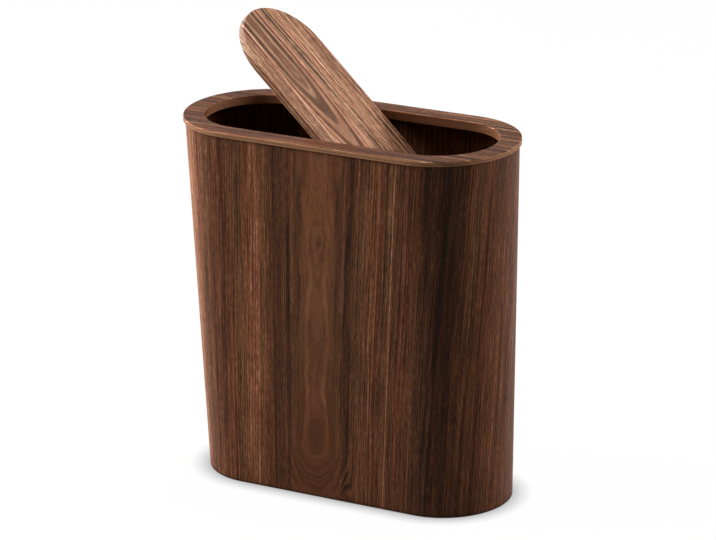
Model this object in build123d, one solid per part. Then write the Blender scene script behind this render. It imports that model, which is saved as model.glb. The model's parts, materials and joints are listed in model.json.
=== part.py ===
from build123d import *
import os

# A slim oval waste bin in walnut: a bent plywood shell, a lift-off top ring and a swing lid.
# Millimetres. The origin is on the floor below the middle of the bin, X runs along the bin,
# Y across it and Z up. The lid is drawn tipped, as it stands when something is dropped in.

# Top ring, which sets the outline of the whole bin
bin_height = 310.0
ring_length = 300.0
ring_width = 131.0
ring_flat = 17.8
ring_edge = 4.0
ring_depth = 7.4
ring_arris = 0.7
ring_overhang = 1.8
ring_fit = 0.4

# Shell, which narrows towards the floor
foot_gap = 0.4
taper_ends = 10.0
taper_sides = 8.0
veneer = 0.6
veneer_drop = 0.8
core_wall = 3.0
lining = 0.5
seam_at_top = 42.0
seam_at_floor = 53.0

# Base
base_recess = 3.0
base_thickness = 6.0
cleat_width = 9.0
cleat_height = 8.0
cleat_length = 150.0
base_screw_spacing = 62.0
base_screw_head = 6.0
base_screw_shank = 3.0
base_screw_length = 12.0
pad_diameter = 14.0
pad_offset_x = 92.0
pad_offset_y = 30.0

# Swing lid and its pivots
lid_side_gap = 1.0
lid_end_gap = 5.5
lid_thickness = 7.2
lid_arris = 0.8
lid_tilt = 44.0
pin_diameter = 2.5
pin_in_lid = 12.0
pin_in_block = 7.0
pin_running_clearance = 0.05
washer_diameter = 5.2
washer_thickness = 0.8
block_width = 4.2
block_length = 8.0
plate_thickness = 1.0
plate_length = 24.0
plate_width = 9.0
plate_setback = 1.0
plate_screw_spacing = 15.0
plate_screw_head = 4.2
plate_screw_shank = 2.0
plate_screw_length = 4.6

# Cross recess of every screw, as shares of its head
recess_span = 0.6
recess_width = 0.15
recess_depth = 0.33

# Sizes that follow from the ones above
wall = veneer + core_wall + lining
shell_bottom = foot_gap
shell_top = bin_height - ring_edge
ring_bottom = bin_height - ring_depth
shell_half_length = ring_length / 2 - ring_overhang
shell_half_width = ring_width / 2 - ring_overhang
mouth_half_length = ring_length / 2 - ring_flat
mouth_half_width = ring_width / 2 - ring_flat
lid_half_length = mouth_half_length - lid_end_gap
lid_half_width = mouth_half_width - lid_side_gap
pivot_height = bin_height - ring_depth / 2
base_bottom = shell_bottom + base_recess
base_top = base_bottom + base_thickness
plate_top = ring_bottom + plate_thickness
plate_middle = mouth_half_width + plate_setback + plate_width / 2
sides = {"front": -1, "back": 1}
rising = (Align.CENTER, Align.CENTER, Align.MIN)


def oval(half_length, half_width, z):
    return Pos(0, 0, z) * SlotOverall(2 * half_length, 2 * half_width)


def oval_plate(half_length, half_width, z_low, z_high):
    return extrude(oval(half_length, half_width, z_low), z_high - z_low)


def shell_section(z, inset):
    # The shell's outline at height z, moved in by inset
    drop = (shell_top - z) / (shell_top - shell_bottom)
    half_length = shell_half_length - taper_ends * drop - inset
    half_width = shell_half_width - taper_sides * drop - inset
    return oval(half_length, half_width, z)


def tapered_block(z_low, z_high, inset):
    return loft([shell_section(z_low, inset), shell_section(z_high, inset)], ruled=True)


def tapered_tube(inset, thickness, top):
    outside = tapered_block(shell_bottom, top, inset)
    return outside - tapered_block(shell_bottom, top, inset + thickness)


def cylinder_across(radius, y_start, y_end, z):
    # A round bar along Y, centred over X = 0
    middle = (y_start + y_end) / 2
    return Pos(0, middle, z) * Rotation(90, 0, 0) * Cylinder(radius, abs(y_end - y_start))


def screw_body(head, shank, length):
    # A countersunk screw that points up, with its head's face at Z = 0
    head_depth = (head - shank) / 2
    cone = Cone(head / 2, shank / 2, head_depth, align=rising)
    return cone + Pos(0, 0, head_depth) * Cylinder(shank / 2, length - head_depth, align=rising)


def screw(head, shank, length):
    # The same screw with its cross recess
    arm = Box(head * recess_span, head * recess_width, (head - shank) * recess_depth, align=rising)
    return screw_body(head, shank, length) - arm - Rotation(0, 0, 90) * arm


def base_screw_places():
    for side in sides.values():
        for step in (-1, 0, 1):
            yield Pos(step * base_screw_spacing, side * base_screw_y, base_bottom)


def plate_screw_places(side):
    for step in (-0.5, 0.5):
        yield Pos(step * plate_screw_spacing, side * plate_middle, ring_bottom)


def clear_half_width(z):
    # Half the clear width inside the shell at height z
    drop = (shell_top - z) / (shell_top - shell_bottom)
    return shell_half_width - taper_sides * drop - wall


base_screw_y = clear_half_width(base_top) - cleat_width / 2


def make_shell_core():
    return tapered_tube(veneer, core_wall, shell_top)


def make_shell_lining():
    return tapered_tube(veneer + core_wall, lining, shell_top)


def seam_wedge():
    # The space to the left of the front seam, which leans a little with the grain
    reach = ring_length
    corners = [(-reach, 0), (-seam_at_floor, 0), (-seam_at_top, bin_height), (-reach, bin_height)]
    return extrude(Plane.XZ * Polygon(*corners, align=None), reach)


def make_veneer_leaves():
    # Two leaves of face veneer that meet at the front left and the back right.
    # They stop short of the ring, which leaves a shadow line under its edge.
    skin = tapered_tube(0, veneer, shell_top - veneer_drop)
    reach = ring_length
    front_half = Pos(0, -reach / 2, 0) * Box(2 * reach, reach, bin_height, align=rising)
    wedge = seam_wedge()
    region = front_half - wedge + Rotation(0, 0, 180) * wedge
    return skin & region, skin - region


def make_base_panel():
    panel = tapered_block(base_bottom, base_top, wall)
    for place in base_screw_places():
        panel -= place * screw_body(base_screw_head, base_screw_shank, base_screw_length)
    return panel


def make_cleat(side):
    # A batten glued inside the shell that the base panel is screwed to
    block = tapered_block(base_top, base_top + cleat_height, wall)
    outer = clear_half_width(base_top)
    window_width = 2 * cleat_width
    window = Pos(0, side * (outer - cleat_width + window_width / 2), base_top)
    cleat = block & window * Box(cleat_length, window_width, cleat_height, align=rising)
    for place in base_screw_places():
        cleat -= place * screw_body(base_screw_head, base_screw_shank, base_screw_length)
    return cleat


def make_base_screws():
    solid = screw(base_screw_head, base_screw_shank, base_screw_length)
    return Compound([place * solid for place in base_screw_places()])


def make_foot_pads():
    pads = []
    for x in (-pad_offset_x, pad_offset_x):
        for y in (-pad_offset_y, pad_offset_y):
            pad = Cylinder(pad_diameter / 2, base_bottom, align=rising)
            pads.append(Pos(x, y, 0) * pad)
    return Compound(pads)


def make_bearing_block(side, bored=True):
    # A round-topped block that the lid's pin turns in
    end = side * (mouth_half_width + block_length)
    start = side * mouth_half_width
    radius = block_width / 2
    round_top = cylinder_across(radius, start, end, pivot_height)
    leg_height = pivot_height - plate_top
    leg = Box(block_width, block_length, leg_height, align=rising)
    block = round_top + Pos(0, (start + end) / 2, plate_top) * leg
    if bored:
        block -= cylinder_across(pin_diameter / 2 + pin_running_clearance, start, end, pivot_height)
    return block


def plate_blank(side):
    blank = Box(plate_length, plate_width, plate_thickness, align=rising)
    return Pos(0, side * plate_middle, ring_bottom) * blank


def make_retainer_plate(side):
    plate = plate_blank(side)
    for place in plate_screw_places(side):
        plate -= place * screw_body(plate_screw_head, plate_screw_shank, plate_screw_length)
    return plate


def make_retainer_screws(side):
    solid = screw(plate_screw_head, plate_screw_shank, plate_screw_length)
    return Compound([place * solid for place in plate_screw_places(side)])


def make_top_ring():
    # A flat ring with a step below, which drops into the mouth of the shell
    ring = oval_plate(ring_length / 2, ring_width / 2, shell_top, bin_height)
    drop = (shell_top - ring_bottom) / (shell_top - shell_bottom)
    step_half_length = shell_half_length - wall - ring_fit - taper_ends * drop
    step_half_width = shell_half_width - wall - ring_fit - taper_sides * drop
    ring += oval_plate(step_half_length, step_half_width, ring_bottom, shell_top)
    ring -= oval_plate(mouth_half_length, mouth_half_width, ring_bottom, bin_height)
    ring = fillet(ring.edges().group_by(Axis.Z)[-1], ring_arris)
    for side in sides.values():
        ring -= make_bearing_block(side, bored=False)
        ring -= plate_blank(side)
        slot_middle = side * (mouth_half_width + block_length / 2)
        slot = Box(block_width, block_length, plate_thickness, align=rising)
        ring -= Pos(0, slot_middle, ring_bottom) * slot
        for place in plate_screw_places(side):
            ring -= place * screw_body(plate_screw_head, plate_screw_shank, plate_screw_length)
    return ring


def tipped(shape):
    # From flat, with the pivot axis through the origin, to the lid's tipped place
    return Location((0, 0, pivot_height), (0, lid_tilt, 0)) * shape


def pin_bar(side):
    start = side * (lid_half_width - pin_in_lid)
    end = side * (mouth_half_width + pin_in_block)
    return cylinder_across(pin_diameter / 2, start, end, 0)


def make_lid_panel():
    half = lid_thickness / 2
    panel = oval_plate(lid_half_length, lid_half_width, -half, half)
    panel = fillet(panel.edges().group_by(Axis.Z)[-1] + panel.edges().group_by(Axis.Z)[0], lid_arris)
    for side in sides.values():
        panel -= pin_bar(side)
    return tipped(panel)


def make_washer(side):
    start = side * lid_half_width
    end = side * (lid_half_width + washer_thickness)
    disc = cylinder_across(washer_diameter / 2, start, end, 0)
    return tipped(disc - pin_bar(side))


def save(shape, node):
    export_step(shape, "parts/" + node + ".step")


os.makedirs("parts", exist_ok=True)
front_leaf, back_leaf = make_veneer_leaves()
save(make_shell_core(), "shell_core")
save(make_shell_lining(), "shell_lining")
save(front_leaf, "face_veneer_front")
save(back_leaf, "face_veneer_back")
save(make_base_panel(), "base_panel")
save(make_base_screws(), "base_screws")
save(make_foot_pads(), "foot_pads")
save(make_top_ring(), "top_ring")
save(make_lid_panel(), "lid_panel")
for name, side in sides.items():
    save(make_cleat(side), "base_cleat_" + name)
    save(make_bearing_block(side), "bearing_block_" + name)
    save(make_retainer_plate(side), "retainer_plate_" + name)
    save(make_retainer_screws(side), "retainer_screws_" + name)
    save(tipped(pin_bar(side)), "pivot_pin_" + name)
    save(make_washer(side), "spacer_washer_" + name)
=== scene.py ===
import bpy
import json
import math
from mathutils import Matrix, Vector


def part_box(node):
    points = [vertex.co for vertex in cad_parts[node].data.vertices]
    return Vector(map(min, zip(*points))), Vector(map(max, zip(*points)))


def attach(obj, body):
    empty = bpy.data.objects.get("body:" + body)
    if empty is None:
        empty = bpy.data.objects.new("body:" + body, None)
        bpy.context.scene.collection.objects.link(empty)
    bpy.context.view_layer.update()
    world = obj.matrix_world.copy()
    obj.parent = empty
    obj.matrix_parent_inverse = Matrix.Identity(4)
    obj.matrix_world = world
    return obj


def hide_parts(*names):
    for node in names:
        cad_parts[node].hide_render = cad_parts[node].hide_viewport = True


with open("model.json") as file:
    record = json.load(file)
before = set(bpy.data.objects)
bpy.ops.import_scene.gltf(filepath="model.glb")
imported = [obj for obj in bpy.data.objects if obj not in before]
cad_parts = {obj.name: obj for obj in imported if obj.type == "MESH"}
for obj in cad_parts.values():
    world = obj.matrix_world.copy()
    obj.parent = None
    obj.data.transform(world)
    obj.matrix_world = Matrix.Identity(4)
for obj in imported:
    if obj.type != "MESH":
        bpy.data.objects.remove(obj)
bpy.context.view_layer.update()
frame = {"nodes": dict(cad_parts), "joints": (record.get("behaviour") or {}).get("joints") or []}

# The shell core is bent plywood: thin cross-laid plies glued round a former, bare on its edges.
# It shows only where the ring is lifted off and along the foot, as fine light and dark layers.
nodes = frame["nodes"]
MM = 0.001


def new_finish(name, roughness, specular=0.4):
    finish = bpy.data.materials.new(name)
    finish.use_nodes = True
    tree = finish.node_tree
    shader = tree.nodes["Principled BSDF"]
    shader.inputs["Roughness"].default_value = roughness
    shader.inputs["Specular IOR Level"].default_value = specular
    return finish, tree, shader


def put(tree, kind, inputs=None, **settings):
    node = tree.nodes.new("ShaderNode" + kind)
    for key, value in settings.items():
        setattr(node, key, value)
    for key, value in (inputs or {}).items():
        if isinstance(value, bpy.types.NodeSocket):
            tree.links.new(value, node.inputs[key])
        else:
            node.inputs[key].default_value = value
    return node


def sum_of(tree, operation, a, b=None, c=None):
    # One step of arithmetic, on plain numbers or on values that vary over the surface
    given = {i: v for i, v in enumerate((a, b, c)) if v is not None}
    return put(tree, "Math", given, operation=operation).outputs[0]


def spread(tree, value, low, high, to_low=0.0, to_high=1.0):
    inputs = {"Value": value, "From Min": low, "From Max": high, "To Min": to_low, "To Max": to_high}
    return put(tree, "MapRange", inputs, interpolation_type="SMOOTHSTEP").outputs["Result"]


def object_place(tree):
    # Position on the piece in millimetres, which stays with the piece as it moves
    coordinate = put(tree, "TexCoord").outputs["Object"]
    scaled = put(tree, "VectorMath", {0: coordinate, "Scale": 1.0 / MM}, operation="SCALE").outputs[0]
    return put(tree, "SeparateXYZ", {0: scaled}).outputs


def streaks(tree, across, along, width, length, seed, detail=2.0):
    # Long soft streaks: width across the grain and length along it, in millimetres
    a = sum_of(tree, "DIVIDE", across, width)
    b = sum_of(tree, "DIVIDE", along, length)
    spot = put(tree, "CombineXYZ", {0: a, 1: b, 2: seed}).outputs[0]
    inputs = {"Vector": spot, "Scale": 1.0, "Detail": detail, "Roughness": 0.55}
    return put(tree, "TexNoise", inputs).outputs["Fac"]


def tint(tree, value, stops):
    ramp = put(tree, "ValToRGB", {"Fac": value})
    points = ramp.color_ramp.elements
    while len(points) < len(stops):
        points.new(0.5)
    for point, (place, colour) in zip(points, stops):
        point.position = place
        point.color = (*colour, 1.0)
    return ramp.outputs["Color"]


def relief(tree, shader, height, strength, depth):
    bump = put(tree, "Bump", {"Height": height, "Strength": strength, "Distance": depth})
    tree.links.new(bump.outputs["Normal"], shader.inputs["Normal"])


def dress(name, finish):
    materials = nodes[name].data.materials
    materials.clear()
    materials.append(finish)


def plywood(name, ply, seed, sheet_normal):
    finish, tree, shader = new_finish(name, 0.75, 0.25)
    x, y, z = object_place(tree)
    grain = streaks(tree, sum_of(tree, "ADD", y, z), x, 0.9, 40.0, seed, 3.0)
    layer = sum_of(tree, "FRACT", sum_of(tree, "DIVIDE", z if sheet_normal == "z" else x, ply * 2))
    dark_ply = sum_of(tree, "MULTIPLY", sum_of(tree, "GREATER_THAN", layer, 0.5), 0.18)
    value = sum_of(tree, "SUBTRACT", spread(tree, grain, 0.3, 0.7), dark_ply)
    colours = [(0.0, (0.12, 0.062, 0.034)), (0.5, (0.24, 0.14, 0.082)), (1.0, (0.34, 0.21, 0.13))]
    tree.links.new(tint(tree, value, colours), shader.inputs["Base Color"])
    relief(tree, shader, grain, 0.25, 0.2 * MM)
    return finish


dress("shell_core", plywood("shell_plies", 0.75, 3.1, "x"))

# The face veneer is two leaves of sliced walnut glued round the shell, edge to edge.
# Their seams are at the front left and the back right; each leaf has its own figure and tone.
scene = bpy.context.scene
bin_low, bin_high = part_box("shell_core")
ring_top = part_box("top_ring")[1].z
veneer = 0.6 * MM
shell_top = bin_high.z
shell_foot = bin_low.z
leaf_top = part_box("face_veneer_front")[1].z
core_half_length = (bin_high.x - bin_low.x) / 2
core_half_width = (bin_high.y - bin_low.y) / 2
taper_ends = 10.0 * MM
taper_sides = 8.0 * MM
half_length = core_half_length + veneer
half_width = core_half_width + veneer
straight = half_length - half_width
half_turn = math.pi * half_width
half_way = 2 * straight + half_turn
seam_at_top = 42.0 * MM
seam_at_floor = 53.0 * MM
veneer_edge = 0.15 * MM


def shell_point(way, height, inset):
    # way runs round the shell from the middle of its front, measured at the top, right positive
    drop = (shell_top - height) / (shell_top - shell_foot)
    radius = half_width - taper_sides * drop
    flat = half_length - taper_ends * drop - radius
    radius -= inset
    run = abs(way)
    if run <= straight:
        x, y = flat * run / straight, -radius
    elif run <= straight + half_turn:
        turn = (run - straight) / half_width
        x, y = flat + radius * math.sin(turn), -radius * math.cos(turn)
    else:
        x, y = flat * (1 - (run - straight - half_turn) / straight), radius
    return Vector((math.copysign(1, way) * x, y, height))


def seam_way(height):
    # Where the front seam runs at this height, which comes in a little towards the top
    share = height / ring_top
    place = seam_at_floor + (seam_at_top - seam_at_floor) * share
    drop = (shell_top - height) / (shell_top - shell_foot)
    flat = straight - (taper_ends - taper_sides) * drop
    return -place * straight / flat


def veneer_leaf(name, direction):
    # A thin closed sheet, wrapped half way round, with its corners eased by hand
    steps_round = 200
    rows = 24
    heights = [shell_foot + (leaf_top - shell_foot) * i / rows for i in range(rows + 1)]
    profile = [(heights[0], veneer), (heights[0], veneer_edge), (heights[0] + veneer_edge, 0.0)]
    profile += [(h, 0.0) for h in heights[1:-1]]
    profile += [(heights[-1] - veneer_edge, 0.0), (heights[-1], veneer_edge), (heights[-1], veneer)]
    points = []
    grain_places = []
    for i in range(steps_round + 1):
        for height, inset in profile:
            way = seam_way(height) + direction * half_way * i / steps_round
            points.append(shell_point(wrapped(way), height, inset))
            grain_places.append((way / MM, height / MM))
    count = len(profile)
    faces = []
    for i in range(steps_round):
        for k in range(count):
            a, b = i * count + k, i * count + (k + 1) % count
            c, d = b + count, a + count
            faces.append((a, d, c, b) if direction > 0 else (a, b, c, d))
    first = tuple(range(count))
    last = tuple(steps_round * count + k for k in range(count))
    faces += [first, last[::-1]] if direction > 0 else [first[::-1], last]
    mesh = bpy.data.meshes.new(name)
    mesh.from_pydata(points, [], faces)
    layer = mesh.uv_layers.new(name="grain")
    for loop in mesh.loops:
        layer.data[loop.index].uv = grain_places[loop.vertex_index]
    for face in mesh.polygons:
        face.use_smooth = len(face.vertices) == 4
    mesh.set_sharp_from_angle(angle=math.radians(35))
    piece = bpy.data.objects.new(name, mesh)
    scene.collection.objects.link(piece)
    return piece


def wrapped(way):
    # The same place on the shell, counted the shorter way round from the front
    whole = 2 * half_way
    return (way + half_way) % whole - half_way


def lean_back(tree, way, height, lean, closing):
    # The veneer's lines lean to the left as they go down and close up towards the middle
    left_limit = -60.0
    right_limit = 80.0
    below_top = sum_of(tree, "SUBTRACT", shell_top / MM, height)
    fall = sum_of(tree, "DIVIDE", below_top, (shell_top - shell_foot) / MM)
    limited = sum_of(tree, "MAXIMUM", sum_of(tree, "MINIMUM", way, right_limit), left_limit)
    shift = sum_of(tree, "MULTIPLY_ADD", limited, closing, lean)
    return sum_of(tree, "MULTIPLY_ADD", shift, fall, way)


def signed(tree, field, gain, base):
    # base plus gain times the field's swing about its middle
    return sum_of(tree, "MULTIPLY_ADD", sum_of(tree, "SUBTRACT", field, 0.5), gain, base)


def walnut(tree, across, along, look):
    # Growth rings cut by the slice: straight lines, and nested loops where a heart is given.
    # heart is the loops' middle, foot, slope, least depth and reach; a loop is its radius, width,
    # gain and the heights it fades between; a band is its two ends, width and gain.
    seed = look["seed"]
    wave = streaks(tree, across, along, 45.0, 260.0, seed, 1.0)
    ripple = streaks(tree, across, along, 5.0, 22.0, seed + 5, 3.0)
    wavy = signed(tree, wave, look["wave"], across)
    wavy = signed(tree, ripple, look["ripple"], wavy)
    ring = wavy
    strength = 1.0
    if look["heart"]:
        middle, foot, steep, least, reach = look["heart"]
        side = sum_of(tree, "ABSOLUTE", sum_of(tree, "SUBTRACT", wavy, middle))
        dip = sum_of(tree, "MAXIMUM", sum_of(tree, "SUBTRACT", foot, along), 0.0)
        depth = sum_of(tree, "MULTIPLY_ADD", dip, steep, least)
        squares = sum_of(tree, "MULTIPLY_ADD", side, side, sum_of(tree, "MULTIPLY", depth, depth))
        sway = streaks(tree, across, along, 14.0, 42.0, seed + 10, 2.0)
        loops = signed(tree, sway, look["sway"], sum_of(tree, "SQRT", squares))
        beyond = spread(tree, side, reach, reach * 1.5)
        outside = sum_of(tree, "MULTIPLY", wavy, beyond)
        ring = sum_of(tree, "MULTIPLY_ADD", loops, sum_of(tree, "SUBTRACT", 1.0, beyond), outside)
        strength = spread(tree, side, reach * 0.4, reach * 1.3, look["calm"], 1.0)
    broad = streaks(tree, ring, along, look["broad"], 900.0, seed + 1, 1.0)
    stripe = streaks(tree, ring, along, look["stripe"], 260.0, seed + 2, 2.0)
    thread = streaks(tree, ring, along, look["thread"], 40.0, seed + 3, 2.0)
    fleck = streaks(tree, wavy, along, 1.1, 7.0, seed + 6, 2.0)
    drift = streaks(tree, ring, along, look["ring"] * 4.0, 500.0, seed + 8, 1.0)
    phase = signed(tree, drift, 4.0, sum_of(tree, "DIVIDE", ring, look["ring"]))
    swing = sum_of(tree, "COSINE", sum_of(tree, "MULTIPLY", phase, 2 * math.pi))
    lines = sum_of(tree, "POWER", sum_of(tree, "MULTIPLY_ADD", swing, 0.5, 0.5), look["sharp"])
    patches = streaks(tree, ring, along, look["ring"] * 2.0, 70.0, seed + 4, 1.0)
    fade = spread(tree, patches, 0.38, 0.58, 0.2, 1.0)
    pore = spread(tree, streaks(tree, wavy, along, 0.5, 6.0, seed + 7, 1.0), 0.57, 0.68)
    value = sum_of(tree, "MULTIPLY", sum_of(tree, "MULTIPLY", lines, fade), -look["line_gain"])
    value = signed(tree, stripe, look["stripe_gain"], value)
    value = signed(tree, thread, look["thread_gain"], value)
    value = signed(tree, fleck, look["fleck_gain"], value)
    value = sum_of(tree, "MULTIPLY_ADD", pore, -look["pore_gain"], value)
    value = sum_of(tree, "MULTIPLY_ADD", value, strength, look["level"])
    value = signed(tree, broad, look["broad_gain"], value)
    for radius, width, gain, low, high in look["loops"]:
        off = sum_of(tree, "ABSOLUTE", sum_of(tree, "SUBTRACT", loops, radius))
        body = spread(tree, off, width, width * 0.2)
        drawn = sum_of(tree, "MULTIPLY", body, spread(tree, along, high, low))
        value = sum_of(tree, "MULTIPLY_ADD", drawn, gain, value)
    for start, end, width, gain in look["bands"]:
        band = drawn_line(tree, across, along, start, end, width)
        value = sum_of(tree, "MULTIPLY_ADD", band, gain, value)
    colour = tint(tree, value, look["tones"])
    cast = spread(tree, streaks(tree, ring, along, 9.0, 400.0, seed + 9, 1.0), 0.3, 0.7)
    casts = [(0.0, (0.90, 0.99, 0.98)), (0.35, (1.0, 0.96, 0.95)),
             (0.65, (1.03, 0.955, 0.91)), (1.0, (1.04, 0.90, 0.94))]
    inputs = {0: 1.0, 6: colour, 7: tint(tree, cast, casts)}
    mixed = put(tree, "Mix", inputs, data_type="RGBA", blend_type="MULTIPLY")
    return mixed.outputs[2], value, pore


def times(tree, colour, gain):
    # Colour times a grey gain that varies over the surface
    grey = put(tree, "CombineColor", {0: gain, 1: gain, 2: gain}).outputs[0]
    mixed = put(tree, "Mix", {0: 1.0, 6: colour, 7: grey}, data_type="RGBA", blend_type="MULTIPLY")
    return mixed.outputs[2]


def drawn_line(tree, across, along, start, end, width):
    # One straight streak between two points (across, along), soft at its sides and ends
    (a0, l0), (a1, l1) = start, end
    share = sum_of(tree, "DIVIDE", sum_of(tree, "SUBTRACT", along, l0), l1 - l0)
    centre = sum_of(tree, "MULTIPLY_ADD", share, a1 - a0, a0)
    off = sum_of(tree, "ABSOLUTE", sum_of(tree, "SUBTRACT", across, centre))
    body = spread(tree, off, width, width * 0.3)
    ends = sum_of(tree, "MULTIPLY", spread(tree, share, -0.04, 0.06), spread(tree, share, 1.04, 0.94))
    return sum_of(tree, "MULTIPLY", body, ends)


def satin(tree, shader, colour, value, pore, depth):
    # Oiled satin: pores stay duller and sink a little below the sanded face
    sanded = 0.5
    duller_in_pores = 0.15
    pore_drop = -0.8
    tree.links.new(colour, shader.inputs["Base Color"])
    roughness = sum_of(tree, "MULTIPLY_ADD", pore, duller_in_pores, sanded)
    tree.links.new(roughness, shader.inputs["Roughness"])
    height = sum_of(tree, "MULTIPLY_ADD", pore, pore_drop, value)
    relief(tree, shader, height, 0.35, depth)


def face_finish(name, look, lean, closing):
    # The face's satin walnut, drawn round the bends by the leaf's own map, and darkened at the foot as
    # painted shade where the shell meets the floor
    finish, tree, shader = new_finish(name, 0.5, 0.08)
    uv = put(tree, "UVMap", uv_map="grain").outputs[0]
    way, height, _ = put(tree, "SeparateXYZ", {0: uv}).outputs
    across = lean_back(tree, way, height, lean, closing)
    colour, value, pore = walnut(tree, across, height, look)
    # Painted shade: the lowest few millimetres darken, standing in for the shadow under the shell's edge
    painted_foot_shade = spread(tree, height, 0.8, 3.2, 0.4, 1.0)
    satin(tree, shader, times(tree, colour, painted_foot_shade), value, pore, 0.25 * MM)
    return finish


WALNUT_TONES = [(0.0, (0.009, 0.003, 0.001)), (0.25, (0.035, 0.012, 0.004)), (0.5, (0.090, 0.031, 0.012)),
                (0.75, (0.172, 0.068, 0.031)), (1.0, (0.360, 0.180, 0.100))]
band_top = 320.0


def upright_band(way, width, gain):
    # A band that follows the veneer's lines from the foot to the top
    return (way, 0.0), (way, band_top), width, gain


front_look = {"seed": 11.0, "tones": WALNUT_TONES, "level": 0.555, "wave": 7.0, "ripple": 1.8,
              "broad": 9.0, "stripe": 2.6, "thread": 1.3, "ring": 2.2, "sharp": 1.3,
              "broad_gain": 0.5, "stripe_gain": 0.7, "thread_gain": 0.75, "fleck_gain": 0.7,
              "line_gain": 0.28, "pore_gain": 0.14,
              "heart": (7.0, 40.0, 0.32, 26.0, 29.0), "calm": 0.5, "sway": 4.0,
              "loops": [(30.8, 1.1, -0.11, 80.0, 170.0), (37.3, 1.6, -0.14, 110.0, 230.0)],
              "bands": [upright_band(-33.0, 11.0, -0.10), upright_band(-36.0, 1.6, -0.20),
                        upright_band(-22.0, 2.6, -0.20), upright_band(10.0, 26.0, -0.01),
                        upright_band(37.0, 5.0, -0.20), upright_band(60.0, 14.0, 0.03),
                        upright_band(78.5, 0.9, 0.26), upright_band(103.0, 1.2, 0.16),
                        # The wide dark band at 120 is partly darker wood and partly painted shade, where
                        # the front turns right, away from the lamps
                        upright_band(120.0, 22.0, -0.17), upright_band(135.0, 70.0, -0.04)]}
front_leaf = veneer_leaf("face_leaf_front", 1)
front_leaf.data.materials.append(face_finish("walnut_face_front", front_look, 18.0, 0.10))
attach(front_leaf, "bin")
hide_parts("face_veneer_front")

back_look = dict(front_look, seed=31.0, wave=3.0, level=0.60, loops=(),
                 heart=(-338.0, 90.0, 0.16, 18.0, 30.0), sway=8.0,
                 bands=[upright_band(-55.0, 10.0, 0.16), upright_band(-90.0, 14.0, -0.08),
                        # The pale band at -130 is partly paler wood and partly painted light on the left
                        # end, which faces the key lamp
                        upright_band(-130.0, 18.0, 0.25), upright_band(-215.0, 18.0, -0.12),
                        upright_band(-262.0, 14.0, 0.08), upright_band(-296.0, 5.0, -0.16),
                        upright_band(-385.0, 12.0, -0.12)])
back_leaf = veneer_leaf("face_leaf_back", -1)
back_leaf.data.materials.append(face_finish("walnut_face_back", back_look, 15.0, 0.0))
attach(back_leaf, "bin")
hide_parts("face_veneer_back")

# The lining is one walnut veneer on the inside of the shell, its grain upright, darker than the face:
# partly dark wood and partly painted shade for the dim inside of the bin.
# It is left with a duller finish than the face.
lining_radius = 95.0
# Painted shade: the face tones are scaled down for the lining, as the inside of the bin lies in shade
shade_red, shade_green, shade_blue = 0.45, 0.4, 0.4
shaded_lining_tones = [(p, (r * shade_red, g * shade_green, b * shade_blue)) for p, (r, g, b) in WALNUT_TONES]
lining_look = dict(back_look, seed=51.0, bands=(), level=0.57, heart=None, tones=shaded_lining_tones)
finish, tree, shader = new_finish("walnut_lining", 0.5, 0.04)
x, y, z = object_place(tree)
around = sum_of(tree, "MULTIPLY", sum_of(tree, "ARCTAN2", y, x), lining_radius)
colour, value, pore = walnut(tree, around, z, lining_look)
satin(tree, shader, colour, value, pore, 0.2 * MM)
dress("shell_lining", finish)

# The base panel is a plywood board let in from below, screwed up into two glued battens.
# Both are left bare; the panel shows from below, and down through the mouth.
dress("base_panel", plywood("base_plies", 1.2, 7.7, "z"))
cleat_finish = plywood("cleat_wood", 2.0, 9.3, "z")
for name in ("base_cleat_front", "base_cleat_back"):
    dress(name, cleat_finish)

# The screws are zinc plated countersunk steel, with a cross recess.
# Plating leaves a faint yellow cast and fine blotches.


def plated(name, colour, dull, roughness):
    finish, tree, shader = new_finish(name, roughness)
    shader.inputs["Metallic"].default_value = 1.0
    x, y, z = object_place(tree)
    spot = put(tree, "CombineXYZ", {0: x, 1: y, 2: z}).outputs[0]
    cloud = put(tree, "TexNoise", {"Vector": spot, "Scale": 0.9, "Detail": 5.0}).outputs["Fac"]
    brushed = put(tree, "TexNoise", {"Vector": spot, "Scale": 9.0, "Detail": 2.0}).outputs["Fac"]
    blotched = tint(tree, spread(tree, cloud, 0.35, 0.65), [(0.0, dull), (1.0, colour)])
    tree.links.new(blotched, shader.inputs["Base Color"])
    uneven = spread(tree, brushed, 0.3, 0.7, roughness - 0.08, roughness + 0.1)
    tree.links.new(uneven, shader.inputs["Roughness"])
    relief(tree, shader, brushed, 0.15, 0.05 * MM)
    return finish


screw_finish = plated("zinc_plate", (0.62, 0.60, 0.54), (0.42, 0.41, 0.37), 0.32)
for name in ("base_screws", "retainer_screws_front", "retainer_screws_back"):
    dress(name, screw_finish)

# Four black rubber pads under the base hold the shell's edge just clear of the floor.
# Moulded rubber is matt, with a fine grain and a little grey dust.
finish, tree, shader = new_finish("pad_rubber", 0.8, 0.3)
x, y, z = object_place(tree)
spot = put(tree, "CombineXYZ", {0: x, 1: y, 2: z}).outputs[0]
crumb = put(tree, "TexNoise", {"Vector": spot, "Scale": 2.2, "Detail": 6.0}).outputs["Fac"]
rubber_tones = [(0.0, (0.012, 0.012, 0.012)), (1.0, (0.04, 0.038, 0.036))]
rubber = tint(tree, spread(tree, crumb, 0.35, 0.7), rubber_tones)
tree.links.new(rubber, shader.inputs["Base Color"])
relief(tree, shader, crumb, 0.4, 0.15 * MM)
dress("foot_pads", finish)

# The top ring is one flat walnut ring, its grain along the bin, with a step below that drops into
# the shell. Its arrises are eased, worn paler and painted with a highlight, and its edges show a lighter
# layer, lifted further as painted light.
grain_slope = 1.3
glue_height = 307.6
wall_colour = (0.310, 0.130, 0.066, 1)
layer_colour = (0.28, 0.142, 0.077, 1)


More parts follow.
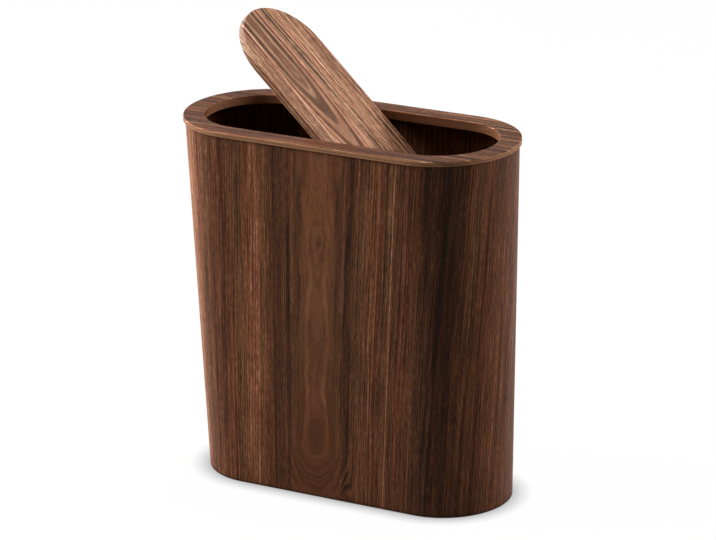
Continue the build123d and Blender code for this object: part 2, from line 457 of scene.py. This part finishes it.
def edge_and_arris(tree, facing):
    # How upright a face stands, and how far it is one of the eased arrises
    steep = spread(tree, sum_of(tree, "ABSOLUTE", facing), 0.55, 0.1)
    arris = sum_of(tree, "MULTIPLY", spread(tree, facing, 0.15, 0.5), spread(tree, facing, 0.99, 0.85))
    return steep, arris


ring_look = dict(back_look, seed=71.0, broad=6.0, ring=3.2, wave=6.0, bands=(), level=0.60, heart=None,
                 broad_gain=1.1, stripe_gain=1.3)
finish, tree, shader = new_finish("walnut_ring", 0.5, 0.06)
x, y, z = object_place(tree)
colour, value, pore = walnut(tree, sum_of(tree, "MULTIPLY_ADD", z, grain_slope, y), x, ring_look)
normal = put(tree, "TexCoord").outputs["Normal"]
normal_x, normal_y, facing = put(tree, "SeparateXYZ", {0: normal}).outputs
steep, arris = edge_and_arris(tree, facing)
outward = sum_of(tree, "MULTIPLY_ADD", normal_x, x, sum_of(tree, "MULTIPLY", normal_y, y))
outer_edge = sum_of(tree, "MULTIPLY", steep, sum_of(tree, "GREATER_THAN", outward, 0.0))
inner_wall = sum_of(tree, "MULTIPLY", sum_of(tree, "SUBTRACT", steep, outer_edge), 0.75)
walled = put(tree, "Mix", {0: inner_wall, 6: colour, 7: wall_colour}, data_type="RGBA").outputs[2]
layered = sum_of(tree, "MULTIPLY", outer_edge, 0.6)
colour = put(tree, "Mix", {0: layered, 6: walled, 7: layer_colour}, data_type="RGBA").outputs[2]
# The outer edge is a lighter layer; its raised gain is partly painted light for the edge facing the lamps
gain = sum_of(tree, "MULTIPLY_ADD", outer_edge, 0.5, 0.66)
# Painted highlight: the eased arrises are lightened, partly for wear and partly for light catching on
# them
gain = sum_of(tree, "MULTIPLY_ADD", arris, 1.3, gain)
from_glue = sum_of(tree, "ABSOLUTE", sum_of(tree, "SUBTRACT", z, glue_height))
glue_line = sum_of(tree, "MULTIPLY", spread(tree, from_glue, 0.5, 0.1), outer_edge)
gain = sum_of(tree, "MULTIPLY_ADD", glue_line, -0.55, gain)
satin(tree, shader, times(tree, colour, gain), value, pore, 0.2 * MM)
dress("top_ring", finish)

# Two nylon blocks sit in slots under the ring and carry the lid's pins; a thin zinc plated
# plate with two screws holds each one up.
haze_shift = 2.0
nylon_finish, tree, shader = new_finish("natural_nylon", 0.5, 0.5)
x, y, z = object_place(tree)
spot = put(tree, "CombineXYZ", {0: x, 1: y, 2: sum_of(tree, "ADD", z, haze_shift)}).outputs[0]
haze = put(tree, "TexNoise", {"Vector": spot, "Scale": 1.4, "Detail": 3.0}).outputs["Fac"]
milk = tint(tree, haze, [(0.3, (0.58, 0.55, 0.48)), (0.7, (0.70, 0.68, 0.62))])
tree.links.new(milk, shader.inputs["Base Color"])
shader.inputs["Subsurface Weight"].default_value = 0.1
relief(tree, shader, haze, 0.1, 0.05 * MM)
plate_finish = plated("plate_zinc", (0.58, 0.58, 0.57), (0.44, 0.44, 0.43), 0.38)
for end in ("front", "back"):
    dress("bearing_block_" + end, nylon_finish)
    dress("retainer_plate_" + end, plate_finish)

# The lid is one flat walnut board with round ends and eased arrises, its grain lengthwise.
# It is cut from paler wood than the shell, with long dark growth lines and one pale streak.
lid_tilt = math.radians(44.0)
half_thickness = 3.6
pivot = Vector((0, 0, frame["joints"][1]["pos_m"][2]))
lid_tones = [(0.0, (0.040, 0.016, 0.008)), (0.3, (0.13, 0.058, 0.031)), (0.5, (0.27, 0.135, 0.076)),
             (0.75, (0.42, 0.238, 0.143)), (1.0, (0.60, 0.39, 0.26))]
pale_streak = ((-27.9, 116.2), (-34.9, -5.5), 0.9, 0.5)
dark_beside_it = ((-32.0, 116.2), (-39.0, -5.5), 3.0, -0.12)
lid_look = dict(front_look, seed=93.0, tones=lid_tones, level=0.575, wave=5.0, ripple=1.2,
                broad=9.0, stripe=3.0, thread=1.3, ring=3.8, sharp=3.5,
                broad_gain=0.7, stripe_gain=1.0, thread_gain=1.3, fleck_gain=1.0, line_gain=0.55,
                heart=(-15.0, 62.0, 0.085, 10.0, 17.0), calm=0.4, sway=1.6,
                loops=[(13.4, 1.9, -0.40, 130.0, 150.0), (18.0, 1.6, -0.36, 130.0, 150.0)],
                bands=[pale_streak, dark_beside_it])


def laid_flat(tree, vector):
    # A place or direction on the tipped lid, turned back as if the lid lay level
    turn = {"Vector": vector, "Axis": (0, 1, 0), "Angle": -lid_tilt}
    return put(tree, "VectorRotate", turn, rotation_type="AXIS_ANGLE").outputs[0]


finish, tree, shader = new_finish("walnut_lid", 0.5, 0.12)
place = put(tree, "TexCoord")
to_pivot = {0: place.outputs["Object"], 1: tuple(-c for c in pivot)}
centred = put(tree, "VectorMath", to_pivot, operation="ADD").outputs[0]
flat = laid_flat(tree, centred)
flat = put(tree, "VectorMath", {0: flat, "Scale": 1 / MM}, operation="SCALE").outputs[0]
x, y, z = put(tree, "SeparateXYZ", {0: flat}).outputs
backward = sum_of(tree, "MULTIPLY", x, -1.0)
below_face = sum_of(tree, "SUBTRACT", z, half_thickness)
sideways = sum_of(tree, "MULTIPLY_ADD", below_face, grain_slope, y)
colour, value, pore = walnut(tree, sideways, backward, lid_look)
turned = laid_flat(tree, place.outputs["Normal"])
facing = sum_of(tree, "ABSOLUTE", put(tree, "SeparateXYZ", {0: turned}).outputs[2])
steep, arris = edge_and_arris(tree, facing)
gain = sum_of(tree, "MULTIPLY_ADD", steep, -0.22, 1.0)
# Painted highlight: the eased arrises are lightened for light catching on the rounded edges
gain = sum_of(tree, "MULTIPLY_ADD", arris, 0.3, gain)
satin(tree, shader, times(tree, colour, gain), value, pore, 0.2 * MM)
dress("lid_panel", finish)

# Each lid pin is a ground steel rod pressed into the board's edge, with a nylon washer that
# keeps the board off the ring.
pin_finish = plated("pin_steel", (0.66, 0.66, 0.67), (0.56, 0.56, 0.57), 0.22)
for end in ("front", "back"):
    dress("pivot_pin_" + end, pin_finish)
    dress("spacer_washer_" + end, nylon_finish)

# The studio: a pale floor that keeps the shadow, a white surround, and broad soft lamps.
# Floor and surround are bright for the camera and in reflections, and dim as light on the bin.


def seen_directly(tree):
    # 1 for what the camera sees, straight or in gloss and glass, and 0 for what lights the bin
    rays = put(tree, "LightPath").outputs
    mirrored = sum_of(tree, "MAXIMUM", rays["Is Glossy Ray"], rays["Is Transmission Ray"])
    return sum_of(tree, "MAXIMUM", rays["Is Camera Ray"], mirrored)


floor_mesh = bpy.data.meshes.new("studio_floor")
reach = 6.0
corners = [(-reach, -reach, 0), (reach, -reach, 0), (reach, reach, 0), (-reach, reach, 0)]
floor_mesh.from_pydata(corners, [], [(0, 1, 2, 3)])
floor = bpy.data.objects.new("studio_floor", floor_mesh)
scene.collection.objects.link(floor)
finish = bpy.data.materials.new("studio_white")
finish.use_nodes = True
tree = finish.node_tree
tree.nodes.clear()
matt = put(tree, "BsdfDiffuse", {"Color": (0.34, 0.34, 0.33, 1)})
contact_reach = 0.018
# Painted contact shadow: the floor's glow dims by ambient occlusion close under the bin
openness = put(tree, "AmbientOcclusion", {"Distance": contact_reach}, samples=8).outputs["AO"]
brightness = sum_of(tree, "MULTIPLY_ADD", openness, 0.95, 0.07)
glow = put(tree, "Emission", {"Color": (1, 1, 1, 1), "Strength": brightness})
share = sum_of(tree, "MULTIPLY", seen_directly(tree), 0.95)
blend = put(tree, "MixShader", {0: share, 1: matt.outputs[0], 2: glow.outputs[0]})
put(tree, "OutputMaterial", {"Surface": blend.outputs[0]})
floor_mesh.materials.append(finish)

world = bpy.data.worlds.new("studio_air")
scene.world = world
world.use_nodes = True
tree = world.node_tree
tree.nodes.clear()
dim = put(tree, "Background", {"Color": (1, 1, 1, 1), "Strength": 0.12})
white = put(tree, "Background", {"Color": (1, 1, 1, 1), "Strength": 1.0})
blend = put(tree, "MixShader", {0: seen_directly(tree), 1: dim.outputs[0], 2: white.outputs[0]})
put(tree, "OutputWorld", {"Surface": blend.outputs[0]})


def softbox(name, place, aim, width, height, power):
    lamp = bpy.data.lights.new(name, "AREA")
    lamp.shape = "RECTANGLE"
    lamp.size = width
    lamp.size_y = height
    lamp.energy = power
    holder = bpy.data.objects.new(name, lamp)
    holder.location = place
    holder.rotation_euler = (Vector(aim) - Vector(place)).to_track_quat("-Z", "Y").to_euler()
    scene.collection.objects.link(holder)


bin_middle = (0, 0, 0.2)
bin_mouth = (0, 0, 0.3)
softbox("key_left", (-1.72, -0.66, 1.26), bin_middle, 1.0, 1.0, 86)
softbox("fill_right", (1.75, 1.30, 1.00), bin_middle, 0.7, 1.2, 56)
softbox("rim_left", (-2.00, 0.70, 0.90), bin_middle, 0.6, 1.0, 26)
softbox("top_soft", (0.1, 0.3, 2.0), bin_mouth, 1.0, 0.7, 26)

# The camera stands to the front right and above, far off with a long lens.
# It is rolled a little, and slid sideways and up to set the bin in the frame.
aim = Vector((0, 0, 0.16))
azimuth, elevation, roll = (math.radians(a) for a in (30.365, 19.227, -1.5))
distance, slide_right, slide_up = 3.3594, 0.00248, 0.02249
focal_px, picture_width, sensor_width = 4047.2, 716, 36.0
away = Vector((math.sin(azimuth) * math.cos(elevation),
               -math.cos(azimuth) * math.cos(elevation),
               math.sin(elevation)))
level = Vector((math.cos(azimuth), math.sin(azimuth), 0))
upright = away.cross(level)
right = level * math.cos(roll) + upright * math.sin(roll)
up = upright * math.cos(roll) - level * math.sin(roll)
eye = aim + away * distance + right * slide_right + up * slide_up
lens = bpy.data.cameras.new("camera")
lens.sensor_width = sensor_width
lens.lens = focal_px / picture_width * sensor_width
lens.clip_end = 50
camera = bpy.data.objects.new("camera", lens)
camera.matrix_world = Matrix((right, up, away)).transposed().to_4x4()
camera.matrix_world.translation = eye
scene.collection.objects.link(camera)
scene.camera = camera
scene.view_settings.view_transform = "Standard"
